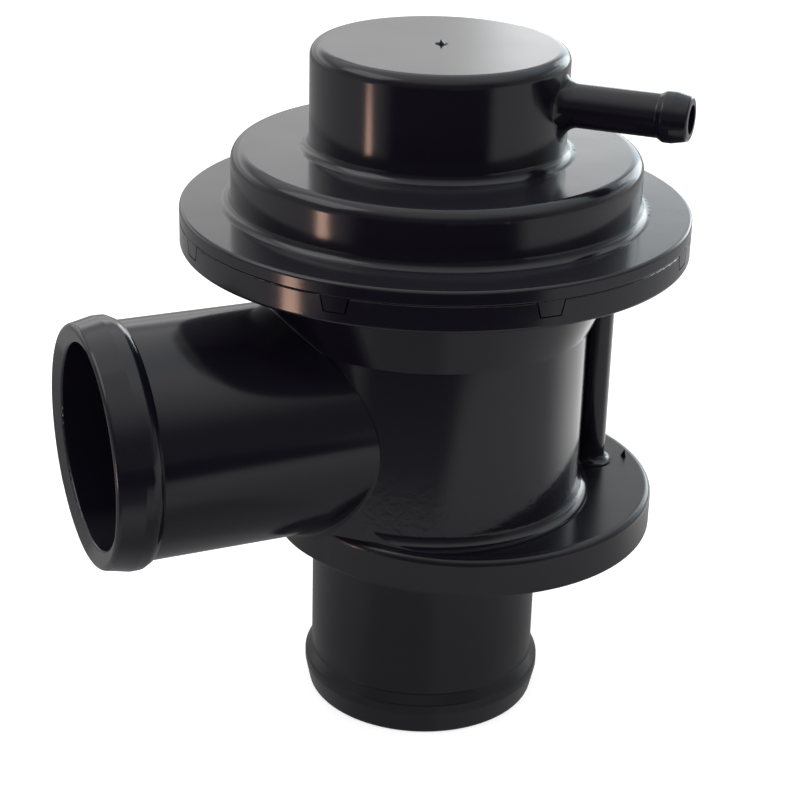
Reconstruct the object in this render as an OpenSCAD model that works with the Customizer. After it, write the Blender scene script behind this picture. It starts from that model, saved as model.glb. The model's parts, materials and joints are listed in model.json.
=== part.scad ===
/* [Hose ports] */
// Outside diameter of both hose necks
port_neck_d = 28.2; // [25:0.1:31]
// Wall thickness of both hose necks
port_wall = 2; // [1.5:0.05:2.5]
// How far the hose bead stands above the neck
bead_height = 0.85; // [0.5:0.05:1.2]
// Length of the lead-in taper from the port's end to the bead
bead_lead = 3.1; // [2.5:0.1:4.5]
// Length of the straight land on top of the bead
bead_land = 1.1; // [1:0.1:2.5]
// Length of the bead's back slope down to the neck
bead_back = 1.4; // [0.8:0.1:2]
// Rounding of the bead's edges
bead_round = 0.8; // [0.3:0.1:1]
// How far the port's end stands above the neck
end_rise = 0.2; // [0:0.05:0.4]
// Rounding of the port's lip
lip_round = 0.65; // [0.2:0.05:0.8]
// Rounding of the port's mouth
mouth_round = 0.3; // [0.1:0.05:0.4]
// Distance from the valve's axis to the side port's end
side_reach = 43.6; // [40:0.1:55]
// Height of the side port's axis above the lower disc
side_axis_h = 11.3; // [10.5:0.1:12]
// Length of the bottom port below the lower disc
inlet_length = 23.4; // [18:0.1:35]

/* [Lower disc] */
// Diameter of the eccentric lower disc
disc_d = 47; // [44:0.1:52]
// Offset of the disc's centre away from the side port
disc_offset = 5.1; // [4:0.1:6]
// Thickness of the disc
disc_t = 4.9; // [4:0.1:8]
// Rounding of the disc's upper edge
disc_round = 0.9; // [0.4:0.1:1.5]
// Rounding of the disc's lower edge
disc_under_round = 0.3; // [0.1:0.1:0.6]
// Step of the seat's throat in from the port's bore
throat_step = 0.5; // [0.3:0.1:1]
// Height of the valve seat above the disc
seat_h = 1.5; // [1:0.1:2]
// Width of the valve seat
seat_w = 1.8; // [1.4:0.1:2.4]

/* [Housing] */
// Outside diameter of the valve body
body_d = 37.6; // [36:0.1:40]
// Wall thickness of the valve body
body_wall = 2; // [1.6:0.1:2.4]
// Height of the valve body from the disc to the funnel
body_h = 22.3; // [20:0.1:24]
// Step from the body out to the funnel
funnel_step = 0.45; // [0.2:0.05:0.8]
// Height of the funnel up to the flange
funnel_h = 9.25; // [8.5:0.05:12]
// Diameter of the funnel at the flange
funnel_top_d = 46.4; // [45:0.1:48]
// Thickness of the partition between the valve body and the diaphragm chamber
partition_t = 2; // [1.6:0.1:2.4]
// Fillet at the foot of the body
body_fillet = 1.4; // [0.6:0.1:1.8]
// Fillet at the foot of the pillar
foot_fillet = 0.9; // [0.4:0.05:1]
// Height of the foot's edge
foot_edge = 0.15; // [0.1:0.05:0.4]

/* [Pillar] */
// Diameter of the outer pillar
pillar_d = 3.6; // [3:0.1:5]
// Gap between the pillar and the valve body
pillar_gap = 1.6; // [0.9:0.1:3]
// Direction of the pillar round the valve's axis
pillar_angle = -5; // [-20:1:20]
// Diameter of the balance passage
passage_d = 1.4; // [1:0.1:1.8]
// Height of the balance passage's outlet above the flange's underside
outlet_h = 1; // [0.95:0.05:1.2]

/* [Flange] */
// Diameter of the flange
flange_d = 60.2; // [58:0.1:66]
// Thickness of the housing's half of the flange
housing_flange_t = 3.1; // [3:0.05:5]
// Thickness of the cover's half of the flange
cover_flange_t = 1.65; // [1.2:0.05:2.5]
// Rounding of the flange's outer edges
flange_round = 0.4; // [0.2:0.05:0.6]
// Rounding of the two edges at the parting line
parting_round = 0.15; // [0.05:0.05:0.3]
// Number of locking tabs round the flange
tab_count = 8; // [4:1:10]
// Width of a tab at its root
tab_w = 3.2; // [2.4:0.1:5]
// Width of a tab at its tip
tab_tip_w = 2.3; // [1.6:0.1:4]
// Height of a tab
tab_h = 1.7; // [1:0.1:2.2]
// Depth of a tab, inwards from the rim
tab_depth = 1.8; // [1.2:0.1:2]
// Clearance round a tab
tab_gap = 0.15; // [0.05:0.01:0.2]

/* [Cover] */
// Diameter of the cover's lower tier
tier_low_d = 48.2; // [47:0.1:50]
// Height of the lower tier above the flange
tier_low_h = 6.7; // [6:0.1:10]
// Diameter of the cover's upper tier
tier_top_d = 30; // [28:0.1:34]
// Height of the upper tier above the lower one
tier_top_h = 12.1; // [10.5:0.1:16]
// Wall thickness of the cover
cover_wall = 1.8; // [1.4:0.1:2]
// Rounding of the lower tier's rim
tier_low_round = 1.5; // [0.5:0.1:1.6]
// Rounding of the upper tier's rim
tier_top_round = 1.4; // [0.5:0.1:1.6]
// Fillet at the foot of each tier
tier_fillet = 1.2; // [0.4:0.1:1.2]
// Diameter of the gate mark at the middle of the cover
gate_d = 1.8; // [1:0.1:3]
// Depth of the gate mark
gate_depth = 0.3; // [0.1:0.05:0.5]

/* [Nipple] */
// Direction of the nipple round the valve's axis
nipple_angle = -44; // [-120:1:120]
// Depth of the nipple's axis below the cover's top
nipple_drop = 5.2; // [4.8:0.1:6]
// Distance from the valve's axis to the nipple's end
nipple_reach = 29.6; // [27:0.1:36]
// Diameter of the nipple's stem
nipple_d = 5; // [4:0.1:5.2]
// Bore of the nipple
nipple_bore_d = 3.3; // [2:0.1:3.4]
// How far the barb stands above the nipple's stem
barb_height = 0.4; // [0.2:0.05:0.6]
// Length of the barb's lead-in taper
barb_lead = 1.9; // [1.2:0.1:3]
// Length of the barb's straight land
barb_land = 1; // [0.8:0.1:1.5]
// Length of the barb's back slope
barb_back = 0.7; // [0.4:0.1:1.2]
// Rounding of the barb's edges
barb_round = 0.4; // [0.2:0.1:0.6]
// Radius of the flare at the nipple's root
nipple_root = 2.1; // [1:0.1:2.2]

/* [Diaphragm and spring] */
// Thickness of the diaphragm
diaphragm_t = 0.8; // [0.6:0.05:1]
// Width of the diaphragm's clamped bead
rim_bead_w = 2; // [1.5:0.1:2.4]
// Depth of the diaphragm's bead below its web
rim_bead_h = 0.8; // [0.5:0.05:1.2]
// Wall between the diaphragm's bead and the tabs
rim_wall = 1.5; // [1:0.1:2]
// Width of the web that is clamped inside the bead
rim_land = 2.3; // [1.5:0.1:2.6]
// Bevel at the inner edge of the diaphragm's seat
rim_bevel = 0.6; // [0.3:0.1:0.8]
// Thickness of the flange's floor between the funnel and the seat
rim_floor_t = 1; // [0.8:0.1:1.2]
// Straight length between the diaphragm's two rolls
roll_straight = 1; // [0.6:0.1:1.4]
// Diameter of the plate under the diaphragm
lower_plate_d = 31; // [28:0.1:32]
// Thickness of the plate under the diaphragm
lower_plate_t = 1.4; // [1.2:0.1:1.6]
// Rest gap between the lower plate and the partition
plate_gap = 1; // [0.6:0.1:1.4]
// Diameter of the plate above the diaphragm
upper_plate_d = 30; // [28:0.1:31]
// Thickness of the plate above the diaphragm
upper_plate_t = 1.2; // [1:0.1:1.8]
// Height of the ring that centres the spring
spring_ring_h = 2; // [1.2:0.1:2.6]
// Wall of the ring that centres the spring
spring_ring_wall = 1.2; // [0.8:0.1:1.6]
// Clearance between that ring and the spring
spring_ring_gap = 0.4; // [0.3:0.1:0.8]
// Mean diameter of the return spring
spring_d = 19.2; // [18:0.1:20]
// Wire diameter of the return spring
wire_d = 1.5; // [1:0.1:1.6]
// Gap between the spring's closed end turns
coil_gap = 0.08; // [0.05:0.01:0.3]
// Number of turns of the return spring
spring_turns = 6.5; // [5:0.5:8]

/* [Valve] */
// Diameter of the valve stem
stem_d = 6; // [5:0.1:7]
// Diameter of the stem's reduced ends
spigot_d = 4; // [3:0.1:4.4]
// Diameter of the stem's riveted head
head_d = 8; // [6.5:0.1:9]
// Height of the stem's riveted head
head_h = 1; // [0.8:0.1:1.6]
// How far the poppet reaches past the seat
poppet_over = 0.5; // [0.2:0.1:1]
// Thickness of the poppet's plate
poppet_plate_t = 1.6; // [1.2:0.1:2.2]
// Height of the poppet at its hub
poppet_hub_h = 3.5; // [3:0.1:5]
// Diameter of the poppet's hub
poppet_hub_d = 12; // [10:0.1:16]
// Thickness of the poppet's rubber seal
seal_t = 1.6; // [1.2:0.1:2]
// Diameter of the washer under the seal
washer_d = 20; // [16:0.1:21]
// Thickness of the washer under the seal
washer_t = 1.2; // [0.8:0.1:1.6]
// Width of the stem nut across its flats
nut_af = 7; // [6:0.1:8]
// Height of the stem nut
nut_h = 3.2; // [2.4:0.1:4]
// Length of thread that shows above the stem nut
thread_show = 0.8; // [0.4:0.1:1.5]
// Outside diameter of the guide bush
bush_d = 10; // [9:0.1:11]
// Length of the guide bush
bush_len = 6; // [5:0.1:7]
// Outside diameter of the stem seal
stem_seal_d = 12; // [11.5:0.1:12.5]
// Height of the stem seal
stem_seal_h = 2.2; // [1.6:0.1:2.6]
// Thickness of the ring that holds the stem seal
retainer_t = 0.8; // [0.6:0.1:1]
// Wall of the guide boss round the stem seal
boss_wall = 2; // [1.5:0.1:2.5]

/* [Fits] */
// Radial clearance of the stem in its guide and seal
running_gap = 0.04; // [0.02:0.01:0.08]
// Radial clearance of pieces that are pressed together
press_gap = 0.02; // [0.01:0.01:0.04]
// Gap under the poppet's seal when the valve is shut
seat_gap = 0.1; // [0.05:0.01:0.15]
// Clearance between the side bore and the partition above it
bore_margin = 0.1; // [0.05:0.05:0.3]

/* [Hidden] */
$fn = 96;
overlap = 0.05;
far = 100;

plastic = [0.05, 0.05, 0.055];
rubber = [0.12, 0.12, 0.12];
steel = [0.7, 0.71, 0.73];
bronze = [0.62, 0.47, 0.27];

// Radii
neck_r = port_neck_d / 2;
bore_r = neck_r - port_wall;
bead_r = neck_r + bead_height;
end_r = neck_r + end_rise;
body_r = body_d / 2;
cavity_r = body_r - body_wall;
funnel_r = body_r + funnel_step;
funnel_top_r = funnel_top_d / 2;
flange_r = flange_d / 2;
pillar_reach = body_r + pillar_gap + pillar_d / 2;
tier_low_r = tier_low_d / 2;
tier_top_r = tier_top_d / 2;
chamber_r = tier_low_r - cover_wall;
pocket_r = tier_top_r - cover_wall;
throat_r = bore_r - throat_step;
seat_r = throat_r + seat_w;
poppet_r = seat_r + poppet_over;
rim_outer_r = flange_r - tab_depth - tab_gap - rim_wall;
rim_groove_r = rim_outer_r - rim_bead_w;
mouth_r = rim_groove_r - rim_land;
boss_r = stem_seal_d / 2 + boss_wall;
spring_ring_r = (spring_d - wire_d) / 2 - spring_ring_gap;

// Heights of the mouldings, from the bottom port's end
disc_top = inlet_length + disc_t;
funnel_z = disc_top + body_h;
flange_z = funnel_z + funnel_h;
parting_z = flange_z + housing_flange_t;
cover_z = parting_z + cover_flange_t;
tier_low_z = cover_z + tier_low_h;
top_z = tier_low_z + tier_top_h;
side_z = disc_top + side_axis_h;
cavity_top = side_z + bore_r + bore_margin;
chamber_z = cavity_top + partition_t;
nipple_z = top_z - nipple_drop;

// Heights of the moving stack at rest
seat_z = disc_top + seat_h;
seal_z = seat_z + seat_gap;
poppet_z = seal_z + seal_t;
hub_z = poppet_z + poppet_hub_h;
washer_z = seal_z - washer_t;
lower_plate_z = chamber_z + plate_gap;
centre_z = lower_plate_z + lower_plate_t;
upper_plate_z = centre_z + diaphragm_t;
spring_seat_z = upper_plate_z + upper_plate_t;
web_z = parting_z - diaphragm_t;
rim_floor_z = flange_z + rim_floor_t;

// Heights of the guide, from the partition's top down
bush_z = chamber_z - bush_len;
stem_seal_z = bush_z - stem_seal_h;
retainer_z = stem_seal_z - retainer_t;

// Square corner between two walls, hollowed by a round of radius r
module corner(r) {
    difference() {
        translate([-overlap, -overlap]) square(r + overlap);
        translate([r, r]) circle(r);
    }
}

// Corner at a place in a profile, facing right or left and up or down
module corner_at(x, y, r, sx, sy) {
    translate([x, y]) scale([sx, sy]) corner(r);
}

// Piece between the corner of an outline, at b on its way from a to c, and a round of radius r
module round_off(a, b, c, r) {
    u = (a - b) / norm(a - b);
    v = (c - b) / norm(c - b);
    inward = (u + v) / norm(u + v);
    half_angle = acos(u * v) / 2;
    reach = r / tan(half_angle);
    difference() {
        polygon([b - inward * overlap, b + u * reach, b + v * reach]);
        translate(b + inward * r / sin(half_angle)) circle(r);
    }
}

// Profile of a hose port, its end at height 0, with bead, lip and mouth
module port_profile(length) {
    land_end = bead_lead + bead_land;
    outline = [
        [0, 0],
        [end_r, 0],
        [bead_r, bead_lead],
        [bead_r, land_end],
        [neck_r, land_end + bead_back],
        [neck_r, length],
        [0, length]
    ];
    difference() {
        union() {
            polygon(outline);
            round_off(outline[3], outline[4], outline[5], bead_round);
        }
        round_off(outline[0], outline[1], outline[2], lip_round);
        round_off(outline[1], outline[2], outline[3], bead_round);
        round_off(outline[2], outline[3], outline[4], bead_round);
        corner_at(bore_r, 0, mouth_round, 1, 1);
    }
}

// Places its children on the side port's axis, with its end at height 0
module on_side_port() {
    translate([-side_reach, 0, side_z]) rotate([0, 90, 0]) children();
}

// Places its children on the pillar's axis
module on_pillar() {
    rotate(pillar_angle) translate([pillar_reach, 0, 0]) children();
}

// Places its children on the nipple's axis, with height 0 on the valve's axis
module on_nipple() {
    translate([0, 0, nipple_z]) rotate(nipple_angle) rotate([0, 90, 0]) children();
}

// Ring of trapezoid tabs under the parting line, grown by a clearance
module tab_ring(gap) {
    for (i = [0 : tab_count - 1])
        rotate(i * 360 / tab_count)
            translate([flange_r - tab_depth - gap, 0, parting_z])
                rotate([90, 0, 90])
                    linear_extrude(tab_depth + 2 * gap)
                        polygon([
                            [-tab_w / 2 - gap, overlap],
                            [-tab_w / 2 - gap, 0],
                            [-tab_tip_w / 2 - gap, -tab_h - gap],
                            [tab_tip_w / 2 + gap, -tab_h - gap],
                            [tab_w / 2 + gap, 0],
                            [tab_w / 2 + gap, overlap]
                        ]);
}

// Foot of a round post: a low edge and a fillet up to the post
module foot(post_r, fillet) {
    rotate_extrude() {
        square([post_r + fillet, foot_edge]);
        corner_at(post_r, foot_edge, fillet, 1, 1);
    }
}

// Feet of the body and the pillar, kept to the flat top of the disc
module feet() {
    intersection() {
        translate([0, 0, disc_top]) {
            foot(body_r, body_fillet);
            on_pillar() foot(pillar_d / 2, foot_fillet);
        }
        translate([disc_offset, 0, inlet_length]) cylinder(h = far, r = disc_d / 2 - disc_round);
    }
}

// Outside of the housing's round body, funnel and flange
module housing_profile() {
    difference() {
        union() {
            translate([0, disc_top]) square([body_r, body_h + overlap]);
            polygon([
                [0, funnel_z],
                [funnel_r, funnel_z],
                [funnel_top_r, flange_z + overlap],
                [0, flange_z + overlap]
            ]);
            translate([0, flange_z]) square([flange_r, housing_flange_t]);
        }
        corner_at(flange_r, flange_z, flange_round, -1, 1);
        corner_at(flange_r, parting_z, parting_round, -1, -1);
    }
}

// Space above the partition, with the seats of the diaphragm's web and bead
module chamber_profile() {
    floor_r = funnel_r + (funnel_top_r - funnel_r) * (chamber_z - funnel_z) / funnel_h - body_wall;
    polygon([
        [0, chamber_z],
        [floor_r, chamber_z],
        [funnel_top_r - body_wall, flange_z],
        [funnel_top_r - body_wall, rim_floor_z],
        [mouth_r, rim_floor_z],
        [mouth_r, web_z - rim_bevel],
        [mouth_r + rim_bevel, web_z],
        [rim_groove_r - press_gap, web_z],
        [rim_groove_r - press_gap, web_z - rim_bead_h - press_gap],
        [rim_outer_r + press_gap, web_z - rim_bead_h - press_gap],
        [rim_outer_r + press_gap, parting_z + far],
        [0, parting_z + far]
    ]);
}

// Vertical balance bore in the pillar and its outlet under the diaphragm
module balance_passage() {
    outlet_z = flange_z + outlet_h;
    on_pillar() cylinder(h = outlet_z + passage_d / 4, d = passage_d);
    rotate(pillar_angle)
        translate([0, 0, outlet_z])
            rotate([0, 90, 0]) cylinder(h = pillar_reach, d = passage_d);
}

module housing() {
    color(plastic)
    difference() {
        union() {
            difference() {
                union() {
                    rotate_extrude() housing_profile();
                    on_side_port() rotate_extrude() port_profile(side_reach);
                    on_pillar()
                        translate([0, 0, disc_top])
                            cylinder(h = flange_z + overlap - disc_top, d = pillar_d);
                    feet();
                }
                lower_outline();
                rotate_extrude() chamber_profile();
                translate([0, 0, disc_top - overlap])
                    cylinder(h = cavity_top - disc_top + overlap, r = cavity_r);
                on_side_port() translate([0, 0, -overlap]) cylinder(h = side_reach, r = bore_r);
                balance_passage();
                tab_ring(tab_gap);
            }
            translate([0, 0, retainer_z]) cylinder(h = chamber_z - retainer_z, r = boss_r);
        }
        translate([0, 0, bush_z - overlap])
            cylinder(h = bush_len + far, d = bush_d + 2 * press_gap);
        translate([0, 0, retainer_z - overlap])
            cylinder(h = bush_z - retainer_z + overlap, d = stem_seal_d + 2 * press_gap);
    }
}

// Sharp outline of the eccentric disc and of the body's round under it
module lower_outline() {
    translate([disc_offset, 0, inlet_length]) cylinder(h = disc_t, d = disc_d);
    translate([0, 0, inlet_length]) cylinder(h = disc_t, r = body_r);
}

module inlet_port() {
    color(plastic)
    difference() {
        union() {
            translate([disc_offset, 0, inlet_length])
                rotate_extrude()
                    difference() {
                        square([disc_d / 2, disc_t]);
                        corner_at(disc_d / 2, disc_t, disc_round, -1, -1);
                        corner_at(disc_d / 2, 0, disc_under_round, -1, 1);
                    }
            translate([0, 0, inlet_length])
                rotate_extrude()
                    difference() {
                        square([body_r, disc_t]);
                        corner_at(body_r, 0, disc_under_round, -1, 1);
                    }
            rotate_extrude() port_profile(inlet_length + disc_t / 2);
            translate([0, 0, disc_top - overlap]) cylinder(h = seat_h + overlap, r = seat_r);
        }
        translate([0, 0, -overlap]) cylinder(h = inlet_length + overlap, r = bore_r);
        cylinder(h = seat_z + overlap, r = throat_r);
        rotate(pillar_angle)
            translate([0, 0, inlet_length + disc_t / 2])
                rotate([0, 90, 0]) cylinder(h = pillar_reach, d = passage_d);
        on_pillar()
            translate([0, 0, inlet_length + disc_t / 2 - passage_d / 4])
                cylinder(h = disc_t, d = passage_d);
    }
}

// Outside of the cover's flange and two tiers
module cover_profile() {
    difference() {
        union() {
            translate([0, parting_z]) square([flange_r, cover_flange_t]);
            translate([0, parting_z]) square([tier_low_r, tier_low_z - parting_z]);
            translate([0, parting_z]) square([tier_top_r, top_z - parting_z]);
            corner_at(tier_low_r, cover_z, tier_fillet, 1, 1);
            corner_at(tier_top_r, tier_low_z, tier_fillet, 1, 1);
        }
        corner_at(flange_r, cover_z, flange_round, -1, -1);
        corner_at(flange_r, parting_z, parting_round, -1, 1);
        corner_at(tier_low_r, tier_low_z, tier_low_round, -1, -1);
        corner_at(tier_top_r, top_z, tier_top_round, -1, -1);
    }
}

// Outside of the nipple along its axis, with the barb and the flared root
module nipple_profile() {
    barb_r = nipple_d / 2 + barb_height;
    land_end = nipple_reach - barb_lead;
    land_start = land_end - barb_land;
    root_r = nipple_d / 2 + nipple_root;
    root_start = sqrt(tier_top_r * tier_top_r - root_r * root_r) - overlap;
    outline = [
        [0, pocket_r],
        [nipple_d / 2, pocket_r],
        [nipple_d / 2, land_start - barb_back],
        [barb_r, land_start],
        [barb_r, land_end],
        [nipple_d / 2, nipple_reach],
        [0, nipple_reach]
    ];
    difference() {
        union() {
            polygon(outline);
            round_off(outline[1], outline[2], outline[3], barb_round);
        }
        round_off(outline[2], outline[3], outline[4], barb_round);
        round_off(outline[3], outline[4], outline[5], barb_round);
        round_off(outline[4], outline[5], outline[6], barb_round);
    }
    translate([0, pocket_r]) square([root_r, root_start - pocket_r]);
    corner_at(nipple_d / 2, root_start, nipple_root, 1, 1);
}

module cover() {
    color(plastic)
    difference() {
        union() {
            rotate_extrude() cover_profile();
            intersection() {
                on_nipple() rotate_extrude() nipple_profile();
                cylinder(h = top_z - tier_top_round / 2, r = far);
            }
            intersection() {
                tab_ring(0);
                translate([0, 0, parting_z - far]) cylinder(h = far + overlap, r = flange_r);
            }
        }
        translate([0, 0, parting_z - overlap])
            cylinder(h = tier_low_z - cover_wall - parting_z + overlap, r = chamber_r);
        translate([0, 0, parting_z]) cylinder(h = top_z - cover_wall - parting_z, r = pocket_r);
        on_nipple() cylinder(h = nipple_reach + overlap, d = nipple_bore_d);
        translate([0, 0, top_z - gate_depth])
            cylinder(h = gate_depth + overlap, d1 = gate_d / 2, d2 = gate_d);
    }
}

// Quarter ring of the diaphragm's thickness, round a roll's centre
module roll(x, y, r, sx, sy) {
    translate([x, y]) scale([sx, sy])
        intersection() {
            difference() {
                circle(r + diaphragm_t / 2);
                circle(r - diaphragm_t / 2);
            }
            square(far);
        }
}

module diaphragm() {
    drop = web_z - centre_z;
    roll_r = (drop - roll_straight) / 2;
    wall_r = (lower_plate_d / 2 + mouth_r) / 2;
    middle = diaphragm_t / 2;
    color(rubber)
    rotate_extrude() {
        translate([rim_groove_r, web_z - rim_bead_h]) square([rim_bead_w, rim_bead_h + diaphragm_t]);
        translate([wall_r + roll_r, web_z]) square([rim_groove_r - wall_r - roll_r + overlap, diaphragm_t]);
        roll(wall_r + roll_r, web_z + middle - roll_r, roll_r, -1, 1);
        translate([wall_r - middle, centre_z + middle + roll_r - overlap])
            square([diaphragm_t, roll_straight + 2 * overlap]);
        roll(wall_r - roll_r, centre_z + middle + roll_r, roll_r, 1, -1);
        translate([spigot_d / 2 + press_gap, centre_z])
            square([wall_r - roll_r - spigot_d / 2 - press_gap, diaphragm_t]);
    }
}

// Round plate with a spigot hole and a rounded rim
module plate_profile(d, t) {
    difference() {
        translate([spigot_d / 2 + press_gap, 0]) square([d / 2 - spigot_d / 2 - press_gap, t]);
        corner_at(d / 2, t, t / 3, -1, -1);
        corner_at(d / 2, 0, t / 3, -1, 1);
    }
}

module lower_plate() {
    color(steel)
    translate([0, 0, lower_plate_z]) rotate_extrude() plate_profile(lower_plate_d, lower_plate_t);
}

module upper_plate() {
    color(steel)
    translate([0, 0, upper_plate_z])
        rotate_extrude() {
            plate_profile(upper_plate_d, upper_plate_t);
            translate([spring_ring_r - spring_ring_wall, upper_plate_t - overlap])
                square([spring_ring_wall, spring_ring_h + overlap]);
        }
}

// Height of the spring wire's middle after a share of its length, with flat end turns
function coil_z(share, low, high) =
    let (turn = share * spring_turns,
         rise = (turn - 1) / (spring_turns - 2),
         climb = rise < 0 ? 0 : rise > 1 ? 1 : rise,
         flat_low = turn < 1 ? turn : 1,
         flat_high = turn > spring_turns - 1 ? turn - spring_turns + 1 : 0,
         end_pitch = wire_d + coil_gap)
    low + end_pitch * (flat_low + flat_high) + climb * (high - low - 2 * end_pitch);

module return_spring() {
    low = spring_seat_z + wire_d / 2 + overlap;
    high = top_z - cover_wall - wire_d / 2 - overlap;
    steps = ceil(spring_turns * 24);
    sides = 8;
    points = [
        for (i = [0 : steps])
            let (share = i / steps, a = 360 * spring_turns * share, z = coil_z(share, low, high))
            for (k = [0 : sides - 1])
                let (b = 360 * k / sides, r = (spring_d + wire_d * cos(b)) / 2)
                [r * cos(a), r * sin(a), z + wire_d / 2 * sin(b)]
    ];
    walls = [
        for (i = [0 : steps - 1], k = [0 : sides - 1])
            let (a = i * sides + k, b = i * sides + (k + 1) % sides)
            [a, a + sides, b + sides, b]
    ];
    ends = [
        [for (k = [0 : sides - 1]) k],
        [for (k = [0 : sides - 1]) steps * sides + sides - 1 - k]
    ];
    color(steel) polyhedron(points, concat(walls, ends));
}

module valve_stem() {
    nut_top = spring_seat_z + nut_h;
    color(steel) {
        translate([0, 0, washer_z - head_h])
            rotate_extrude()
                difference() {
                    square([head_d / 2, head_h]);
                    corner_at(head_d / 2, 0, head_h / 2, -1, 1);
                }
        translate([0, 0, washer_z - overlap]) cylinder(h = nut_top + thread_show - washer_z, d = spigot_d);
        translate([0, 0, hub_z]) cylinder(h = lower_plate_z - hub_z, d = stem_d);
    }
}

module stem_nut() {
    color(steel)
    translate([0, 0, spring_seat_z])
        difference() {
            cylinder(h = nut_h, d = nut_af / cos(30), $fn = 6);
            translate([0, 0, -overlap]) cylinder(h = nut_h + 2 * overlap, d = spigot_d + 2 * press_gap);
        }
}

module poppet() {
    hub_r = poppet_hub_d / 2;
    hole_r = spigot_d / 2 + press_gap;
    color(plastic)
    translate([0, 0, poppet_z])
        rotate_extrude()
            difference() {
                union() {
                    translate([hole_r, 0]) square([poppet_r - hole_r, poppet_plate_t]);
                    translate([hole_r, 0]) square([hub_r - hole_r, poppet_hub_h]);
                    corner_at(hub_r, poppet_plate_t, poppet_hub_h - poppet_plate_t, 1, 1);
                }
                corner_at(poppet_r, poppet_plate_t, poppet_plate_t / 2, -1, -1);
            }
}

module poppet_seal() {
    color(rubber)
    translate([0, 0, seal_z])
        difference() {
            cylinder(h = seal_t, r = poppet_r);
            translate([0, 0, -overlap]) cylinder(h = seal_t + 2 * overlap, d = spigot_d + 2 * press_gap);
        }
}

module seal_washer() {
    color(steel)
    translate([0, 0, washer_z])
        difference() {
            cylinder(h = washer_t, d = washer_d);
            translate([0, 0, -overlap]) cylinder(h = washer_t + 2 * overlap, d = spigot_d + 2 * press_gap);
        }
}

// Plain ring round the stem
module stem_ring(z, height, d) {
    translate([0, 0, z])
        difference() {
            cylinder(h = height, d = d);
            translate([0, 0, -overlap]) cylinder(h = height + 2 * overlap, d = stem_d + 2 * running_gap);
        }
}

module guide_bush() {
    color(bronze) stem_ring(bush_z, bush_len, bush_d);
}

module stem_seal() {
    color(rubber) stem_ring(stem_seal_z, stem_seal_h, stem_seal_d);
}

module seal_retainer() {
    color(steel) stem_ring(retainer_z, retainer_t, stem_seal_d);
}

housing();
inlet_port();
cover();
diaphragm();
lower_plate();
upper_plate();
return_spring();
valve_stem();
stem_nut();
poppet();
poppet_seal();
seal_washer();
guide_bush();
stem_seal();
seal_retainer();
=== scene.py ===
# %% [markdown]
# # A diaphragm blow off valve in glossy black plastic
#
# The imported CAD model is the frame of this scene. Its mouldings, plates, seals and spring already
# have their true size and place, so nothing here moves or resizes them. Blender adds what the eye
# needs: the finish of each material, the small blends and marks that a mould leaves, and smooth
# pieces for the spring and the diaphragm. Where a solid lacks a small form, a new piece stands for it.
#
# Blender works in metres. Sizes are written in millimetres here, and MM turns them to metres.

# %% Load the frame
import json
import math

import bpy
from mathutils import Matrix, Vector


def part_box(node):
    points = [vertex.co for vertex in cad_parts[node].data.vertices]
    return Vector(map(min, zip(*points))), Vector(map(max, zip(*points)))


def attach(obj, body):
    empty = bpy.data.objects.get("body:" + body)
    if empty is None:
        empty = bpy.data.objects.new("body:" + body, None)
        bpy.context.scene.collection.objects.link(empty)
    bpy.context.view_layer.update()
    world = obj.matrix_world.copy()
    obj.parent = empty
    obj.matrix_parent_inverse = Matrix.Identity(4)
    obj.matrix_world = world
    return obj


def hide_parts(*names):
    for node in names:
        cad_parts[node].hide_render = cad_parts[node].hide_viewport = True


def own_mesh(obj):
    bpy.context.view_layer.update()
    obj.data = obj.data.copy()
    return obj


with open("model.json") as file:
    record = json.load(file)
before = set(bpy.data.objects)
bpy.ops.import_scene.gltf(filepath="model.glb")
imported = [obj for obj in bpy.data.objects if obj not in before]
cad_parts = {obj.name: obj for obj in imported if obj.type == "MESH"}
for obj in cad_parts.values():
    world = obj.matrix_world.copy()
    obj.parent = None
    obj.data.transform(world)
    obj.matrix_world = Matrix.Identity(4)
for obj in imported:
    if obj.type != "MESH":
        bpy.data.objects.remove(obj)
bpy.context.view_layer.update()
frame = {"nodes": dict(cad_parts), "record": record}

MM = 0.001
nodes = frame["nodes"]
scene = bpy.context.scene
scene.view_settings.view_transform = "Standard"
print("CAD nodes:", ", ".join(sorted(nodes)))

# %% [markdown]
# ## The camera
#
# The picture is taken from a little above, to the left of the valve's front, with a lens long
# enough to keep the round flanges calm. The camera could be aimed at an empty, but a place, three
# angles and a lens say the same thing in numbers that can be checked, so its axes are built here
# one by one.

# %% Camera
CAMERA_PLACE = Vector((-95.92, -207.02, 139.93)) * MM
CAMERA_TURN = math.radians(23.968)
CAMERA_DIP = math.radians(23.896)
CAMERA_LEAN = math.radians(-1.579)
LENS_MM = 91.32
SENSOR_MM = 36.0
CLIP_START = 10.0

ahead = Vector((math.sin(CAMERA_TURN) * math.cos(CAMERA_DIP),
                math.cos(CAMERA_TURN) * math.cos(CAMERA_DIP),
                -math.sin(CAMERA_DIP)))
level_right = Vector((math.cos(CAMERA_TURN), -math.sin(CAMERA_TURN), 0.0))
level_down = ahead.cross(level_right)
picture_right = level_right * math.cos(CAMERA_LEAN) + level_down * math.sin(CAMERA_LEAN)
picture_down = level_down * math.cos(CAMERA_LEAN) - level_right * math.sin(CAMERA_LEAN)
camera_axes = Matrix((picture_right, -picture_down, -ahead)).transposed()

bpy.ops.object.camera_add(location=CAMERA_PLACE, rotation=camera_axes.to_euler())
camera = bpy.context.object
camera.data.sensor_width = SENSOR_MM
camera.data.lens = LENS_MM
camera.data.clip_start = CLIP_START * MM
scene.camera = camera
print("Camera stands", round(CAMERA_PLACE.length / MM), "mm from the origin")

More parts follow.
